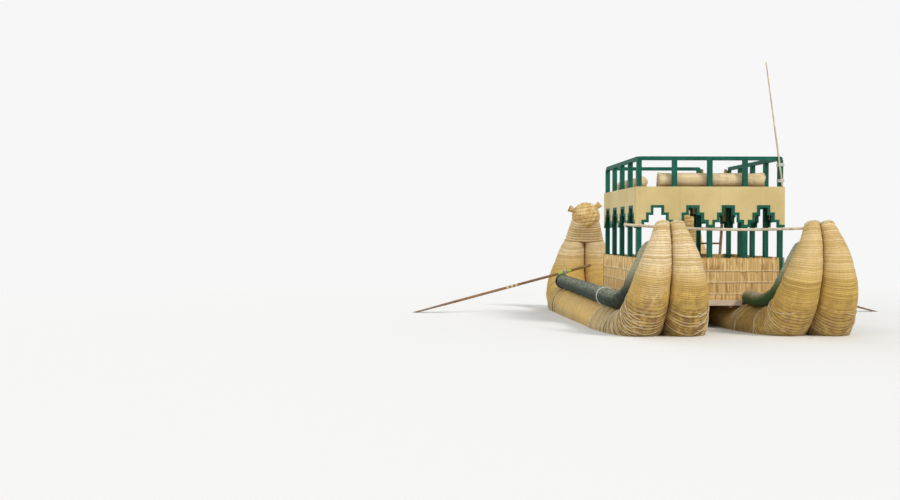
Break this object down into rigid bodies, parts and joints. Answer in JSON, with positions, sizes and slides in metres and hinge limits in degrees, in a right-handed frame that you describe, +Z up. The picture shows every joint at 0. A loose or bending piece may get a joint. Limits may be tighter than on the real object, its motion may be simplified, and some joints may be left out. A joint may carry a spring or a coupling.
{
  "type": "reed boat",
  "caption": "Double-hulled reed boat: bound reed rolls swept up at both ends, planked deck, arched two-storey cabin, woven animal heads at the bow and oars in rope grommets.",
  "frame": {"origin": "on the floor under the four hull rolls, in the middle of the boat's length and of its beam over both oars", "axes": "+Y towards the bow, +X to starboard, +Z up"},
  "size_m": [9.2196, 7.7472, 4.4275],
  "materials": {
    "hull_reed": "bundled totora reed, bound with cord",
    "gunwale_reed": "reed roll, dyed dark green and worn grey",
    "mat_reed": "woven reed mat",
    "seat_reed": "reed roll bound with cord",
    "head_reed": "woven reed",
    "panel_timber": "boards painted a dull sand yellow",
    "green_timber": "painted green, worn",
    "plank_timber": "weathered planks",
    "frame_timber": "sawn timber",
    "pole_timber": "peeled pole, weathered grey",
    "oar_timber": "oiled timber with a yellow-green wrap",
    "rope": "twisted rope"
  },
  "bodies": {
    "boat": {"arch_panel_aft": "panel_timber", "arch_panel_front": "panel_timber", "arch_panel_port": "panel_timber", "arch_panel_stbd": "panel_timber", "arch_trim_aft": "green_timber", "arch_trim_front": "green_timber", "arch_trim_port": "green_timber", "arch_trim_stbd": "green_timber", "cabin_bench_port": "seat_reed", "cabin_bench_stbd": "seat_reed", "cabin_floor_mat": "mat_reed", "deck_aft_board": "plank_timber", "deck_planks": "plank_timber", "deck_stringers": "frame_timber", "gunwale_port": "gunwale_reed", "gunwale_stbd": "gunwale_reed", "hull_port_inner_roll": "hull_reed", "hull_port_outer_roll": "hull_reed", "hull_stbd_inner_roll": "hull_reed", "hull_stbd_outer_roll": "hull_reed", "inner_gunwale_port": "gunwale_reed", "inner_gunwale_stbd": "gunwale_reed", "ladder": "frame_timber", "mast_lashings": "rope", "mast_pole": "pole_timber", "mat_wall_aft": "mat_reed", "mat_wall_front_port": "mat_reed", "mat_wall_front_stbd": "mat_reed", "mat_wall_port": "mat_reed", "mat_wall_stbd": "mat_reed", "posts_aft": "green_timber", "posts_front": "green_timber", "posts_side": "green_timber", "puma_head_port": "head_reed", "puma_head_stbd": "head_reed", "rail_aft": "green_timber", "rail_front": "green_timber", "rail_port": "green_timber", "rail_stbd": "green_timber", "seat_roll_aft": "seat_reed", "seat_roll_port": "seat_reed", "seat_roll_stbd": "seat_reed", "stern_pole": "pole_timber", "thole_port": "pole_timber", "thole_stbd": "pole_timber", "upper_floor": "frame_timber", "upper_joists": "frame_timber"},
    "port_grommet": {"grommet_port": "rope"},
    "port_oar": {"oar_port": "oar_timber"},
    "stbd_grommet": {"grommet_stbd": "rope"},
    "stbd_oar": {"oar_stbd": "oar_timber"}
  },
  "joints": [
    {"name": "port_oar_sweep", "type": "hinge", "parent": "boat", "child": "port_grommet", "pos_m": [-1.5834, 2.38, 1.0943], "axis": [0, 0, 1], "range_deg": [-35, 35]},
    {"name": "port_oar_dip", "type": "hinge", "parent": "port_grommet", "child": "port_oar", "pos_m": [-1.5834, 2.309, 1.0943], "axis": [0, 1, 0], "range_deg": [-3.5, 20]},
    {"name": "stbd_oar_sweep", "type": "hinge", "parent": "boat", "child": "stbd_grommet", "pos_m": [1.5834, 2.38, 1.0943], "axis": [0, 0, 1], "range_deg": [-35, 35]},
    {"name": "stbd_oar_dip", "type": "hinge", "parent": "stbd_grommet", "child": "stbd_oar", "pos_m": [1.5834, 2.309, 1.0943], "axis": [0, -1, 0], "range_deg": [-3.5, 20]}
  ]
}
